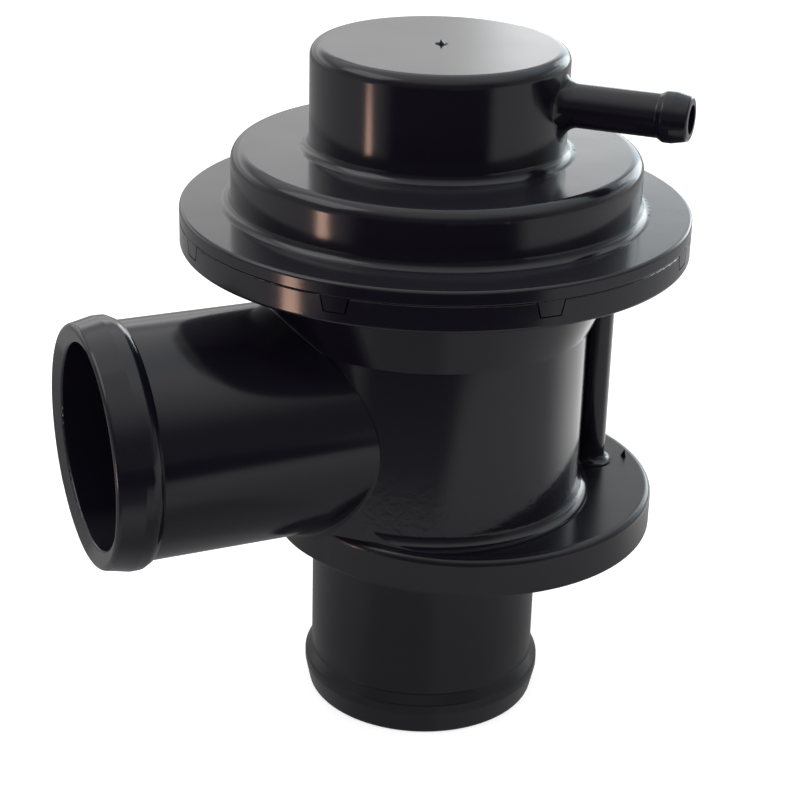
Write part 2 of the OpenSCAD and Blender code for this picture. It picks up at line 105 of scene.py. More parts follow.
# %% [markdown]
# ## Materials: a few helpers
#
# Every finish below is a tree of shader nodes. Colours are written as sRGB hex values, as a paint
# chart gives them, and one function turns them to the linear values that the shader works in.
# Another adds a node, sets its values and links its inputs in a single call. An input is named, or
# numbered where names repeat: a mix node's floats are inputs 2 and 3, its colours 6 and 7.

# %% Material helpers
TIMES = {"operation": "MULTIPLY"}
DOT = {"operation": "DOT_PRODUCT"}
LENGTH = {"operation": "LENGTH"}
LARGER = {"operation": "MAXIMUM"}
FLOAT_MIX = {"data_type": "FLOAT"}
COLOUR_MIX = {"data_type": "RGBA"}
SMOOTH = {"interpolation_type": "SMOOTHSTEP"}


def linear(hex_colour):
    """Linear RGBA of an sRGB hex colour such as #1a1a1c."""
    channels = [int(hex_colour[i:i + 2], 16) / 255 for i in (1, 3, 5)]
    return [c / 12.92 if c <= 0.04045 else ((c + 0.055) / 1.055) ** 2.4 for c in channels] + [1.0]


def add_node(tree, kind, settings=None, **inputs):
    """Adds a node; settings are its properties, inputs are values or sockets to link."""
    made = tree.nodes.new(kind)
    for key, value in (settings or {}).items():
        setattr(made, key, value)
    for key, value in inputs.items():
        name = int(key[1:]) if key[1:].isdigit() else key.replace("_", " ")
        if isinstance(value, bpy.types.NodeSocket):
            tree.links.new(value, made.inputs[name])
        else:
            made.inputs[name].default_value = value
    return made


def new_material(name):
    """An empty material: its node tree and its output node."""
    material = bpy.data.materials.new(name)
    material.use_nodes = True
    material.node_tree.nodes.clear()
    return material, material.node_tree, material.node_tree.nodes.new("ShaderNodeOutputMaterial")


def per_mm(size_mm):
    """Texture scale at which one cell of a pattern is about size_mm wide."""
    return 1 / (size_mm * MM)


# %% [markdown]
# ## Glossy black PBT with glass fibre
#
# The housing, the lower port and the cover are injection moulded from black PBT filled with short
# glass fibre. The steel mould is polished, so the skin is glossy; the fibres and the cooling melt
# leave a faint orange peel and slow waves of shrinkage, which bend reflections a little. Round the
# foot of the body the melt fronts met late, and there the skin is rippled with faint flow marks.
# The lower port comes from a mould with a finer matt, so its skin is satin. A thin film of dust
# lies on what faces up and greys it. The same grey is also a painted sheen, which lifts the tops most
# where they mirror only black walls.

# %% Flow marks
FLOW_TOP = 39.0
FLOW_FADE = 7.0
FLOW_OUT = 19.2
FLOW_GRAIN = 1.6
FLOW_DEPTH = 0.04


def flow_marks(tree, place, normal):
    """Ripples on the foot of the body: low enough, and near enough to the valve's axis."""
    rise = add_node(tree, "ShaderNodeSeparateXYZ", Vector=place)
    low = add_node(tree, "ShaderNodeMapRange", Value=rise.outputs["Z"], From_Min=FLOW_TOP * MM,
                   From_Max=(FLOW_TOP - FLOW_FADE) * MM)
    level = add_node(tree, "ShaderNodeVectorMath", TIMES, _0=place, _1=(1.0, 1.0, 0.0))
    out = add_node(tree, "ShaderNodeVectorMath", LENGTH, _0=level.outputs["Vector"])
    on_body = add_node(tree, "ShaderNodeMath", {"operation": "LESS_THAN"}, _0=out.outputs["Value"],
                       _1=FLOW_OUT * MM)
    where = add_node(tree, "ShaderNodeMath", TIMES, _0=low.outputs["Result"],
                     _1=on_body.outputs["Value"])
    flow = add_node(tree, "ShaderNodeTexNoise", Vector=place, Scale=per_mm(FLOW_GRAIN), Detail=3.0,
                    Distortion=1.0)
    bump = add_node(tree, "ShaderNodeBump", Height=flow.outputs["Fac"],
                    Strength=where.outputs["Value"], Distance=FLOW_DEPTH * MM, Normal=normal)
    return bump.outputs["Normal"]


# %% Moulded plastic
PEEL_GRAIN = 0.5
PEEL_DEPTH = 0.05
WAVE_GRAIN = 9.0
WAVE_DEPTH = 0.3
PBT_IOR = 1.55
PBT_DARK = "#100e17"
PBT_PALE = "#15131c"
# Grey on faces that look up: partly dust, partly a painted sheen
DUST_AND_SHEEN_TONE = "#6c6c72"
DUST_AND_SHEEN_FROM = 0.9


def moulded_plastic(name, gloss_low, gloss_high, dust_and_sheen, has_flow_marks=False):
    """Black PBT; dust_and_sheen is the share of grey, part dust and part painted sheen, on a face that
    looks straight up.
    """
    material, tree, output = new_material(name)
    coordinates = add_node(tree, "ShaderNodeTexCoord")
    place = coordinates.outputs["Object"]
    peel = add_node(tree, "ShaderNodeTexNoise", Vector=place, Scale=per_mm(PEEL_GRAIN), Detail=3.0)
    wave = add_node(tree, "ShaderNodeTexNoise", Vector=place, Scale=per_mm(WAVE_GRAIN), Detail=1.0)
    peel_bump = add_node(tree, "ShaderNodeBump", Height=peel.outputs["Fac"], Strength=0.05,
                         Distance=PEEL_DEPTH * MM)
    wave_bump = add_node(tree, "ShaderNodeBump", Height=wave.outputs["Fac"], Strength=0.08,
                         Distance=WAVE_DEPTH * MM, Normal=peel_bump.outputs["Normal"])
    normal = wave_bump.outputs["Normal"]
    if has_flow_marks:
        normal = flow_marks(tree, place, normal)
    gloss = add_node(tree, "ShaderNodeMapRange", Value=wave.outputs["Fac"], To_Min=gloss_low,
                     To_Max=gloss_high)
    tone = add_node(tree, "ShaderNodeMix", COLOUR_MIX, Factor=peel.outputs["Fac"],
                    _6=linear(PBT_DARK), _7=linear(PBT_PALE))
    # Faces that look up are greyed: partly dust, partly a painted sheen that lifts tops mirroring black
    # walls
    facing = add_node(tree, "ShaderNodeSeparateXYZ", Vector=coordinates.outputs["Normal"])
    dust_and_sheen_share = add_node(tree, "ShaderNodeMapRange", Value=facing.outputs["Z"], From_Min=DUST_AND_SHEEN_FROM,
                    To_Max=dust_and_sheen)
    dust_and_sheen_tone = add_node(tree, "ShaderNodeMix", COLOUR_MIX, Factor=dust_and_sheen_share.outputs["Result"],
                      _6=tone.outputs[2], _7=linear(DUST_AND_SHEEN_TONE))
    skin = add_node(tree, "ShaderNodeBsdfPrincipled", Base_Color=dust_and_sheen_tone.outputs[2],
                    Roughness=gloss.outputs["Result"], IOR=PBT_IOR, Normal=normal)
    tree.links.new(skin.outputs["BSDF"], output.inputs["Surface"])
    return material


# %% [markdown]
# ## Rubber, plated steel and sintered bronze
#
# These sit inside the valve. The diaphragm and seals are black nitrile rubber, matt with a fine
# grain. The plates, stem and spring are zinc plated steel, pale and slightly brushed. The guide
# bush is pressed from bronze powder, so it is matt and dotted with oil pores.

# %% Rubber
RUBBER_GRAIN = 0.3
RUBBER_DEPTH = 0.05
RUBBER_BLOOM = 4.0
RUBBER_IOR = 1.52


def nitrile_rubber():
    """Matt black rubber with a fine grain and a slow bloom in its tone."""
    material, tree, output = new_material("nitrile_rubber")
    place = add_node(tree, "ShaderNodeTexCoord").outputs["Object"]
    grain = add_node(tree, "ShaderNodeTexNoise", Vector=place, Scale=per_mm(RUBBER_GRAIN), Detail=4.0)
    bloom = add_node(tree, "ShaderNodeTexNoise", Vector=place, Scale=per_mm(RUBBER_BLOOM), Detail=2.0)
    bump = add_node(tree, "ShaderNodeBump", Height=grain.outputs["Fac"], Strength=0.25,
                    Distance=RUBBER_DEPTH * MM)
    tone = add_node(tree, "ShaderNodeMix", COLOUR_MIX, Factor=bloom.outputs["Fac"],
                    _6=linear("#141416"), _7=linear("#242426"))
    rough = add_node(tree, "ShaderNodeMapRange", Value=grain.outputs["Fac"], To_Min=0.5, To_Max=0.7)
    skin = add_node(tree, "ShaderNodeBsdfPrincipled", Base_Color=tone.outputs[2],
                    Roughness=rough.outputs["Result"], IOR=RUBBER_IOR, Normal=bump.outputs["Normal"])
    tree.links.new(skin.outputs["BSDF"], output.inputs["Surface"])
    return material


# %% Plated steel and bronze
METAL_DEPTH = 0.03


def metal_skin(name, dark, pale, rough_low, rough_high, grain_mm, relief):
    """A metal whose tone and roughness follow one grain pattern."""
    material, tree, output = new_material(name)
    place = add_node(tree, "ShaderNodeTexCoord").outputs["Object"]
    grain = add_node(tree, "ShaderNodeTexNoise", Vector=place, Scale=per_mm(grain_mm), Detail=4.0)
    tone = add_node(tree, "ShaderNodeMix", COLOUR_MIX, Factor=grain.outputs["Fac"],
                    _6=linear(dark), _7=linear(pale))
    rough = add_node(tree, "ShaderNodeMapRange", Value=grain.outputs["Fac"],
                     To_Min=rough_low, To_Max=rough_high)
    bump = add_node(tree, "ShaderNodeBump", Height=grain.outputs["Fac"], Strength=relief,
                    Distance=METAL_DEPTH * MM)
    skin = add_node(tree, "ShaderNodeBsdfPrincipled", Base_Color=tone.outputs[2], Metallic=1.0,
                    Roughness=rough.outputs["Result"], Normal=bump.outputs["Normal"])
    tree.links.new(skin.outputs["BSDF"], output.inputs["Surface"])
    return material


# %% The set of finishes
finishes = {
    "moulded_plastic": moulded_plastic("glossy_moulded_pbt", gloss_low=0.12, gloss_high=0.19, dust_and_sheen=0.08),
    "rubber": nitrile_rubber(),
    "steel": metal_skin("zinc_plated_steel", dark="#a7abb0", pale="#d3d6da", rough_low=0.24,
                        rough_high=0.40, grain_mm=0.8, relief=0.15),
    "bronze": metal_skin("sintered_bronze", dark="#7d5a32", pale="#b98f56", rough_low=0.42,
                         rough_high=0.62, grain_mm=0.25, relief=0.5),
}
own_finishes = {
    "housing": moulded_plastic("flow_marked_pbt", gloss_low=0.12, gloss_high=0.19, dust_and_sheen=0.08,
                               has_flow_marks=True),
    "inlet_port": moulded_plastic("satin_moulded_pbt", gloss_low=0.2, gloss_high=0.28, dust_and_sheen=0.0),
}
print("Finishes of slots:", ", ".join(finishes))
print("Nodes with a finish of their own:", ", ".join(own_finishes))

# %% Dress the CAD nodes
slots = {row["node"]: row["material_slot"] for row in frame["record"]["subparts"]}
for name, node in nodes.items():
    for material_slot in node.material_slots:
        material_slot.material = own_finishes.get(name, finishes[slots[name]])
print("Dressed", len(nodes), "nodes in", len(finishes) + len(own_finishes), "finishes")

# %% [markdown]
# ## The small pieces: measures from the frame
#
# The pieces below sit on the CAD solids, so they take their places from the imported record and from
# the boxes of the nodes. Only radii and heights that neither tells are written out.

# %% Measures
mounts = {row["name"]: row for row in frame["record"]["mounts"]}
PORT_HEIGHT = mounts["side_hose_bead"]["pos_m"][2] / MM
NIPPLE_HEIGHT = mounts["nipple_barb"]["pos_m"][2] / MM
COVER_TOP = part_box("cover")[1][2] / MM
print("Port axis", PORT_HEIGHT, "nipple axis", NIPPLE_HEIGHT)

# %% Finishing a piece
SMOOTH_BELOW = math.radians(40)


def finish_piece(piece, body, slot_name):
    """Gives a piece its finish, smooths it and lets it ride on a body."""
    piece.data.materials.clear()
    piece.data.materials.append(finishes[slot_name])
    bpy.ops.object.select_all(action="DESELECT")
    piece.select_set(True)
    bpy.context.view_layer.objects.active = piece
    bpy.ops.object.shade_smooth_by_angle(angle=SMOOTH_BELOW)
    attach(piece, body)
    print(piece.name, len(piece.data.polygons), "faces")


# %% [markdown]
# ## Blends where a tube leaves a round wall
#
# The mould has no sharp inner corners: where the side port leaves the body, and where the nipple
# leaves the cap, a fillet runs round the joint. A bevel can't follow two crossed cylinders that
# are separate meshes, so the skin of the fillet is drawn as a ball rolling in the corner would
# draw it. A grid is added, and each of its points is laid on the arc between the place where the
# ball touches the tube and the place where it touches the wall. A small function for each wall says
# how far out the ball then stands and which way it touches: the body is upright, the funnel above
# it leans out, and the cap ends in a rounded rim over which the ball climbs.

# %% Rolling blend
ARC_STEPS = 8
SKIN_T = 0.15
MERGE_WITHIN = 0.001


def rolling_blend(name, heading_deg, tube_r, axis_h, wall_touch, ball_radius, span_deg, steps):
    """A thin skin over the corner of a level tube and a round wall, sizes in mm."""
    bpy.ops.object.select_all(action="DESELECT")
    bpy.ops.mesh.primitive_grid_add(x_subdivisions=ARC_STEPS, y_subdivisions=steps, size=1.0)
    piece = bpy.context.object
    piece.name = name
    heading = math.radians(heading_deg)
    out_way = Vector((math.cos(heading), math.sin(heading), 0.0))
    side_way = Vector((-math.sin(heading), math.cos(heading), 0.0))
    for corner in piece.data.vertices:
        angle = math.radians(span_deg[0] + (span_deg[1] - span_deg[0]) * (corner.co.y + 0.5))
        ball_r = ball_radius(math.degrees(angle))
        ball_side = (tube_r + ball_r) * math.sin(angle)
        ball_h = axis_h + (tube_r + ball_r) * math.cos(angle)
        from_axis, away, above = wall_touch(ball_r, ball_h)
        ball_out = math.sqrt(from_axis ** 2 - ball_side ** 2)
        middle = Vector((ball_out, ball_side, ball_h))
        to_tube = Vector((0.0, -math.sin(angle), -math.cos(angle)))
        to_wall = Vector((-ball_out * away / from_axis, -ball_side * away / from_axis, -above))
        on_arc = to_tube.slerp(to_wall.normalized(), corner.co.x + 0.5) * ball_r + middle
        corner.co = (out_way * on_arc.x + side_way * on_arc.y + Vector((0, 0, on_arc.z))) * MM
    first = piece.data.polygons[0]
    lead = math.radians(span_deg[0])
    ball_way = out_way + side_way * math.sin(lead) + Vector((0, 0, math.cos(lead)))
    bpy.ops.object.mode_set(mode="EDIT")
    bpy.ops.mesh.select_all(action="SELECT")
    bpy.ops.mesh.remove_doubles(threshold=MERGE_WITHIN * MM)
    if first.normal.dot(ball_way) < 0:
        bpy.ops.mesh.flip_normals()
    bpy.ops.object.mode_set(mode="OBJECT")
    skin = piece.modifiers.new("skin", "SOLIDIFY")
    skin.thickness = SKIN_T * MM
    skin.offset = -1.0
    bpy.ops.object.modifier_apply(modifier=skin.name)
    return piece


# %% Port blend on the body
PORT_HEADING = 180.0
PORT_R = 14.1
BODY_R = 18.8
PORT_BLEND_FROM = 48.0
PORT_BLEND_STEPS = 120
PORT_LINE_R = 0.12
PORT_BLEND_GROWTH = 1.5
PORT_BLEND_POWER = 1.5


def body_touch(ball_r, ball_h):
    """The ball beside the body's upright wall."""
    return BODY_R + ball_r, 1.0, 0.0


def port_ball(angle_deg):
    """Radius of the port's blend: a fine line under the funnel that widens towards the bottom."""
    share = (180.0 - abs(180.0 - angle_deg) - PORT_BLEND_FROM) / (180.0 - PORT_BLEND_FROM)
    return PORT_LINE_R + PORT_BLEND_GROWTH * share ** PORT_BLEND_POWER


port_blend = rolling_blend("port_blend", PORT_HEADING, PORT_R, PORT_HEIGHT, body_touch, port_ball,
                           (PORT_BLEND_FROM, 360.0 - PORT_BLEND_FROM), PORT_BLEND_STEPS)
finish_piece(port_blend, "shell", "moulded_plastic")

# %% Port blend under the funnel
FUNNEL_R = 19.25
FUNNEL_FOOT = 50.6
FUNNEL_SPREAD = 3.95
FUNNEL_RISE = 9.25
FUNNEL_LEAN = math.atan2(FUNNEL_SPREAD, FUNNEL_RISE)
FUNNEL_LINE_R = 0.2
FUNNEL_BLEND_TO = 37.5
FUNNEL_BLEND_STEPS = 60


def funnel_touch(ball_r, ball_h):
    """The ball under the funnel, which leans out over it."""
    wall_r = FUNNEL_R + (ball_h - FUNNEL_FOOT) * math.tan(FUNNEL_LEAN)
    return wall_r + ball_r / math.cos(FUNNEL_LEAN), math.cos(FUNNEL_LEAN), -math.sin(FUNNEL_LEAN)


def funnel_ball(angle_deg):
    """Radius of the blend under the funnel: the same fine line all along."""
    return FUNNEL_LINE_R


funnel_blend = rolling_blend("funnel_blend", PORT_HEADING, PORT_R, PORT_HEIGHT, funnel_touch,
                             funnel_ball, (-FUNNEL_BLEND_TO, FUNNEL_BLEND_TO), FUNNEL_BLEND_STEPS)
finish_piece(funnel_blend, "shell", "moulded_plastic")

# %% Nipple blend
NIPPLE_R = 2.5
NIPPLE_AXIS = mounts["nipple_barb"]["axis"]
NIPPLE_HEADING = math.degrees(math.atan2(NIPPLE_AXIS[1], NIPPLE_AXIS[0]))
NIPPLE_BLEND_STEPS = 72
NIPPLE_BLEND_R = 0.8
NIPPLE_GROWTH_ABOVE = 0.6
NIPPLE_GROWTH_BELOW = 1.2
CAP_R = 15.0
CAP_ROUND = 1.4


def cap_touch(ball_r, ball_h):
    """The ball beside the cap's wall, or climbing over its rounded rim."""
    climb = max(0.0, ball_h - COVER_TOP + CAP_ROUND)
    reach = math.sqrt((CAP_ROUND + ball_r) ** 2 - climb ** 2)
    return CAP_R - CAP_ROUND + reach, reach, climb


def nipple_ball(angle_deg):
    """Radius of the nipple's blend: fine at its sides, wider on top and widest below."""
    upright = math.cos(math.radians(angle_deg))
    growth = NIPPLE_GROWTH_ABOVE if upright > 0 else NIPPLE_GROWTH_BELOW
    return NIPPLE_BLEND_R + growth * upright ** 2


nipple_blend = rolling_blend("nipple_blend", NIPPLE_HEADING, NIPPLE_R, NIPPLE_HEIGHT, cap_touch,
                             nipple_ball, (0.0, 360.0), NIPPLE_BLEND_STEPS)
finish_piece(nipple_blend, "shell", "moulded_plastic")

# %% [markdown]
# ## Gate marks
#
# The melt enters each mould through a pin gate. When the runner is torn off it leaves a rough nub:
# one at the middle of the cap and one on the rim of the lower disc. Each starts as a low cylinder
# whose lid is a fan of triangles; the rim is pulled in and out by uneven steps, and the middle of
# the fan is drawn up to the torn tip, so the facets stand steep and stay dark.

# %% Gate marks
NUB_STEPS = (1.3, 0.5, 1.0, 0.45, 1.35, 0.55, 0.95, 0.5, 1.2, 0.45)
NUB_ROOT = 0.3
NUB_RIM = 0.02
CAP_GATE = (0.0, 0.0, COVER_TOP)
DISC_GATE = (26.6, -2.9, 28.3)


def gate_nub(name, place, nub_r, nub_h):
    """A torn gate at a place in mm, its root sunk in the moulding."""
    bpy.ops.object.select_all(action="DESELECT")
    bpy.ops.mesh.primitive_cylinder_add(vertices=len(NUB_STEPS), radius=nub_r * MM,
                                        depth=NUB_ROOT * MM, end_fill_type="TRIFAN")
    nub = bpy.context.object
    nub.name = name
    for corner in nub.data.vertices:
        at_rim = math.hypot(corner.co.x, corner.co.y) > nub_r * MM / 2
        step = round(math.atan2(corner.co.y, corner.co.x) / math.tau * len(NUB_STEPS))
        stretch = NUB_STEPS[step % len(NUB_STEPS)] if at_rim else 1.0
        top = NUB_RIM if at_rim else nub_h
        rise = top if corner.co.z > 0 else -NUB_ROOT
        from_root = Vector((corner.co.x * stretch, corner.co.y * stretch, rise * MM))
        corner.co = from_root + Vector(place) * MM
    finish_piece(nub, "shell", "moulded_plastic")


gate_nub("cap_gate_mark", CAP_GATE, nub_r=0.4, nub_h=0.6)
gate_nub("disc_gate_mark", DISC_GATE, nub_r=0.35, nub_h=0.9)

# %% [markdown]
# ## The side port's mouth and bead
#
# The end of the side port is bevelled on the inside, which helps the air out and leaves a thin lip.
# The bead behind it is an arch that falls ever more steeply to a sharp foot, where the hose clip
# bites. The CAD end is flat and its bead has straight slopes. A piece laid over them can't show a
# bevel, because a bevel takes material away. So a copy of the housing is merged, the inner edge of
# its mouth is pushed in, and the rings of the bead's back are laid on the arch. The copy keeps the
# smooth normals of the CAD faces; only those on the bevel and the arch are turned.

# %% Copy of the housing
MERGE_EXACT = 0.0001
NEAR = 0.01
housing_skin = bpy.data.objects.new("housing_skin", nodes["housing"].data.copy())
scene.collection.objects.link(housing_skin)
shading = [Vector(corner.vector) for corner in housing_skin.data.corner_normals]
bpy.ops.object.select_all(action="DESELECT")
housing_skin.select_set(True)
bpy.context.view_layer.objects.active = housing_skin
bpy.ops.object.mode_set(mode="EDIT")
bpy.ops.mesh.select_all(action="SELECT")
bpy.ops.mesh.remove_doubles(threshold=MERGE_EXACT * MM)
bpy.ops.object.mode_set(mode="OBJECT")
mesh = housing_skin.data
end_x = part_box("housing")[0][0]
port_axis = Vector((0.0, 0.0, PORT_HEIGHT))
along = [(v.co.x - end_x) / MM for v in mesh.vertices]
radial = [Vector((0.0, v.co.y, v.co.z)) / MM - port_axis for v in mesh.vertices]
print("Corners before and after the merge:", len(shading), len(mesh.loops))

# %% Side port's mouth
MOUTH_DEPTH = 0.6
MOUTH_FLAT_R = 12.4
MOUTH_LIP_R = 13.65
MOUTH_ROUND = 0.4
tilt = math.atan2(MOUTH_DEPTH, MOUTH_LIP_R - MOUTH_FLAT_R)
at_end = [a < NEAR and r.length < MOUTH_LIP_R + NEAR for a, r in zip(along, radial)]
for face in mesh.polygons:
    if all(at_end[i] for i in face.vertices):
        for loop in face.loop_indices:
            inward = -radial[mesh.loops[loop].vertex_index].normalized()
            shading[loop] = Vector((-math.cos(tilt), 0, 0)) + inward * math.sin(tilt)
pushed = [v for v, a, r in zip(mesh.vertices, along, radial)
          if a < MOUTH_ROUND and r.length < MOUTH_FLAT_R + NEAR]
for v in pushed:
    v.co.x += MOUTH_DEPTH * MM
print("Mouth corners pushed in:", len(pushed))

# %% Side port's bead
BEAD_FROM = 3.97
BEAD_TO = 5.83
BEAD_LENGTH = 1.6
BEAD_RISE = 0.85
ARCH_POWER = 2.2
on_back = [BEAD_FROM < a < BEAD_TO and r.length > PORT_R - NEAR for a, r in zip(along, radial)]
share = [(a - BEAD_FROM) / (BEAD_TO - BEAD_FROM) for a in along]
for face in mesh.polygons:
    if all(on_back[i] for i in face.vertices):
        for loop in face.loop_indices:
            i = mesh.loops[loop].vertex_index
            fall = BEAD_RISE * ARCH_POWER * share[i] ** (ARCH_POWER - 1) / BEAD_LENGTH
            shading[loop] = (radial[i].normalized() + Vector((fall, 0, 0))).normalized()
for v, back, s, r in zip(mesh.vertices, on_back, share, radial):
    if back:
        ring = r.normalized() * (PORT_R + BEAD_RISE * (1 - s ** ARCH_POWER))
        from_end = Vector((BEAD_FROM + BEAD_LENGTH * s, ring.y, ring.z + PORT_HEIGHT))
        v.co = Vector((end_x, 0, 0)) + from_end * MM
print("Bead corners laid on the arch:", sum(on_back))

# %% Hand the copy over
mesh.normals_split_custom_set(shading)
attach(housing_skin, "shell")
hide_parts("housing")
print(housing_skin.name, len(mesh.polygons), "faces")

# %% [markdown]
# ## The flange's lower edge
#
# The mould rounds the lower edge of the housing's flange. The triangles of the CAD rounding are
# uneven there and leave small notches in the outline, so a ring of the same round is laid in the
# edge. A bevel would need a clean rim to run along. Instead the ring's section, a quarter of a
# circle with its back inside the flange, starts as a circle of points and is spun round the
# valve's axis.

# %% Spun outlines
QUARTER_STEPS = 8


def quarter(middle_r, middle_h, radius, from_deg, to_deg):
    """Points of a quarter turn of a section, radius and height in mm."""
    turns = [math.radians(from_deg + (to_deg - from_deg) * i / QUARTER_STEPS)
             for i in range(QUARTER_STEPS + 1)]
    return [(middle_r + radius * math.cos(t), middle_h + radius * math.sin(t)) for t in turns]


def spin_outline(name, outline, steps):
    """A ring round the valve's axis, spun from the (radius, height) points of its section in mm."""
    bpy.ops.object.select_all(action="DESELECT")
    bpy.ops.mesh.primitive_circle_add(vertices=len(outline), fill_type="NOTHING")
    ring = bpy.context.object
    ring.name = name
    for corner, (radius, rise) in zip(ring.data.vertices, outline):
        corner.co = (radius * MM, 0.0, rise * MM)
    bpy.ops.object.mode_set(mode="EDIT")
    bpy.ops.mesh.select_all(action="SELECT")
    bpy.ops.mesh.spin(steps=steps, angle=math.tau, center=(0, 0, 0), axis=(0, 0, 1))
    bpy.ops.mesh.select_all(action="SELECT")
    bpy.ops.mesh.remove_doubles(threshold=MERGE_WITHIN * MM)
    bpy.ops.mesh.normals_make_consistent(inside=False)
    bpy.ops.object.mode_set(mode="OBJECT")
    return ring


# %% Flange edge
EDGE_ROUND = 0.4
EDGE_PROUD = 0.01
EDGE_ROOT = 0.5
EDGE_SINK = 0.1
EDGE_STEPS = 240
FLANGE_LOW = 59.85
edge_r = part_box("housing")[1][0] / MM - EDGE_ROUND
edge_h = FLANGE_LOW + EDGE_ROUND
edge_section = quarter(edge_r, edge_h, EDGE_ROUND + EDGE_PROUD, -90, 0)
edge_section += [(edge_r - EDGE_ROOT, edge_h), (edge_r - EDGE_ROOT, FLANGE_LOW + EDGE_SINK)]
flange_edge = spin_outline("flange_edge", edge_section, EDGE_STEPS)
finish_piece(flange_edge, "shell", "moulded_plastic")

# %% [markdown]
# ## The return spring
#
# A cold-wound coil of plated wire with closed, flat end turns pushes the valve shut. The CAD coil
# is faceted, so a smooth one stands for it. A path is added, its points follow the same rise as
# the wound wire, its round bevel gives the wire, and it becomes a mesh.

# %% Spring measures
SPRING_TURNS = 6.5
END_TURNS = 1.0
WIRE_D = 1.5
WIRE_ROUNDNESS = 3
COIL_GAP = 0.08
POINTS_PER_TURN = 32
spring_low, spring_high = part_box("return_spring")
coil_r = spring_high[0] / MM - WIRE_D / 2
coil_low = spring_low[2] / MM + WIRE_D / 2
coil_high = spring_high[2] / MM - WIRE_D / 2
end_pitch = WIRE_D + COIL_GAP
open_rise = coil_high - coil_low - 2 * end_pitch

# %% Return spring
bpy.ops.object.select_all(action="DESELECT")
bpy.ops.curve.primitive_nurbs_path_add()
wire = bpy.context.object.data
wire.splines.clear()
coil = wire.splines.new("POLY")
coil.points.add(int(SPRING_TURNS * POINTS_PER_TURN))
for step, point in enumerate(coil.points):
    turn = step / POINTS_PER_TURN
    climb = min(max((turn - END_TURNS) / (SPRING_TURNS - 2 * END_TURNS), 0.0), 1.0)
    flat = min(turn, END_TURNS) + max(turn - SPRING_TURNS + END_TURNS, 0.0)
    rise = coil_low + end_pitch * flat + climb * open_rise
    angle = math.tau * turn
    point.co = (coil_r * math.cos(angle) * MM, coil_r * math.sin(angle) * MM, rise * MM, 1.0)
wire.bevel_depth = WIRE_D / 2 * MM
wire.bevel_resolution = WIRE_ROUNDNESS
wire.use_fill_caps = True
bpy.ops.object.convert(target="MESH")
spring = bpy.context.object
spring.name = "return_spring_coil"
finish_piece(spring, "shell", "steel")
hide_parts("return_spring")
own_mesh(spring)

# %% [markdown]
# ## The rolling diaphragm
#
# A moulded rubber skin parts the vacuum chamber from the air below. Its bead is clamped between the
# two flanges, its middle between the two plates, and the fold between them rolls as the valve
# lifts. The outline of one half starts as a circle of points, takes the shape of the section and is
# spun round the axis.

# %% Diaphragm outline
RUBBER_T = 0.8
FOLD_R = 2.475
FOLD_WALL_R = 18.925
BEAD_INNER_R = 24.65
HOLE_R = 2.02
rubber_low, rubber_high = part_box("diaphragm")
bead_r = rubber_high[0] / MM
clamp_h = rubber_high[2] / MM
floor_h = rubber_low[2] / MM
half_t = RUBBER_T / 2
inner_fold = (FOLD_WALL_R - FOLD_R, floor_h + half_t + FOLD_R)
outer_fold = (FOLD_WALL_R + FOLD_R, clamp_h - half_t - FOLD_R)
outline = [(HOLE_R, floor_h)]
outline += quarter(*inner_fold, FOLD_R + half_t, -90, 0)
outline += quarter(*outer_fold, FOLD_R - half_t, 180, 90)
outline += [(BEAD_INNER_R, clamp_h - RUBBER_T), (BEAD_INNER_R, clamp_h - 2 * RUBBER_T),
            (bead_r, clamp_h - 2 * RUBBER_T), (bead_r, clamp_h)]
outline += quarter(*outer_fold, FOLD_R + half_t, 90, 180)
outline += quarter(*inner_fold, FOLD_R - half_t, 0, -90)
outline += [(HOLE_R, floor_h + RUBBER_T)]
print("Diaphragm section:", len(outline), "points,", round(clamp_h - floor_h, 2), "mm deep")

# %% Diaphragm
DIAPHRAGM_STEPS = 96
diaphragm = spin_outline("rolling_diaphragm", outline, DIAPHRAGM_STEPS)
finish_piece(diaphragm, "shell", "rubber")
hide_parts("diaphragm")
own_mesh(diaphragm)

# %% [markdown]
# ## The studio: lamps
#
# Black gloss shows the room more than itself. Flat tops mirror what stands behind the valve, walls
# mirror the floor in front of them, and rounded edges squeeze the whole room into a line. So the
# studio is made of lamps, a room and a floor, and each is built for what mirrors see of it. Two soft
# boxes face the valve. A warm strip lies on the floor at its left, so that walls mirror it as a
# narrow streak. A glowing plane could do the same, but a lamp is sampled better and throws no
# image of itself at the camera.

# %% Lamps
TARGET = Vector((0.0, 0.0, 45.0)) * MM
BOX_DISTANCE = 600.0
WARM_PLACE = Vector((-230.0, -18.0, 2.0)) * MM
FACE_UP = (math.pi, 0, 0)
towards_camera = Vector((-math.sin(CAMERA_TURN), -math.cos(CAMERA_TURN), 0.0))


def area_lamp(name, place, aim, width_mm, height_mm, radiance, colour="#ffffff"):
    """A rectangle of light that the camera doesn't see; radiance is what a mirror sees of it."""
    bpy.ops.object.light_add(type="AREA", location=place, rotation=aim)
    lamp = bpy.context.object
    lamp.name = name
    lamp.visible_camera = False
    lamp.data.shape = "RECTANGLE"
    lamp.data.size = width_mm * MM
    lamp.data.size_y = height_mm * MM
    lamp.data.energy = radiance * math.pi * lamp.data.size * lamp.data.size_y
    lamp.data.color = linear(colour)[:3]


def soft_box(name, turn_deg, rise_deg, **size_and_light):
    """A lamp that faces the valve: turn 0 is the camera's side, 90 is the right of the picture."""
    turn, rise = math.radians(turn_deg), math.radians(rise_deg)
    level = towards_camera * math.cos(turn) + level_right * math.sin(turn)
    way = level * math.cos(rise) + Vector((0, 0, math.sin(rise)))
    aim = way.to_track_quat("Z", "Y").to_euler()
    area_lamp(name, TARGET + way * BOX_DISTANCE * MM, aim, **size_and_light)


